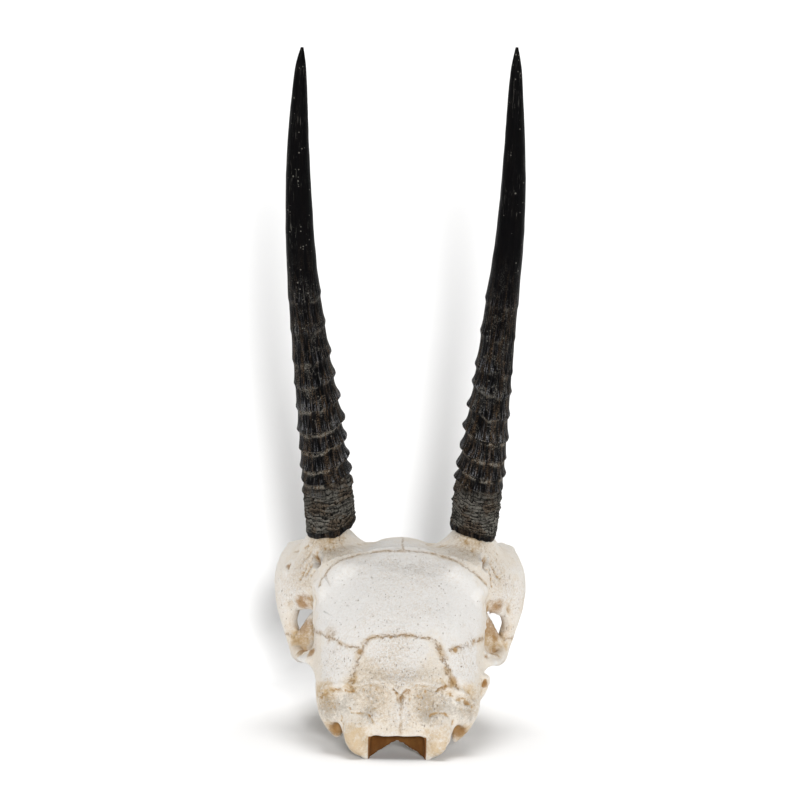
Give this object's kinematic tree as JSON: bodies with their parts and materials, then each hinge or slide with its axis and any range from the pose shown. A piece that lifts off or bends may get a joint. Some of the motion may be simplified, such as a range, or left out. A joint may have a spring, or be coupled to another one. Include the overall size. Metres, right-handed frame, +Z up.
{
  "type": "oribi skull",
  "caption": "Weathered skull of a small antelope without its lower jaw, with two ringed horn sheaths rising from the forehead.",
  "frame": {"origin": "on the table, centred under the skull's bounding box", "axes": "+Z up along the horns, -Y towards the snout, +Y towards the back of the head, +X towards the animal's left"},
  "size_m": [0.078, 0.16, 0.2135],
  "materials": {
    "bone": "dry weathered bone, matt",
    "horn_keratin": "dark horn, satin, grey and scaly near the foot",
    "tooth_enamel": "worn ivory enamel, slightly glossy"
  },
  "bodies": {
    "root": {"cranium": "bone", "horn_sheath_left": "horn_keratin", "horn_sheath_right": "horn_keratin", "molar_1_left": "tooth_enamel", "molar_1_right": "tooth_enamel", "molar_2_left": "tooth_enamel", "molar_2_right": "tooth_enamel", "molar_3_left": "tooth_enamel", "molar_3_right": "tooth_enamel", "premolar_2_left": "tooth_enamel", "premolar_2_right": "tooth_enamel", "premolar_3_left": "tooth_enamel", "premolar_3_right": "tooth_enamel", "premolar_4_left": "tooth_enamel", "premolar_4_right": "tooth_enamel"}
  },
  "joints": []
}
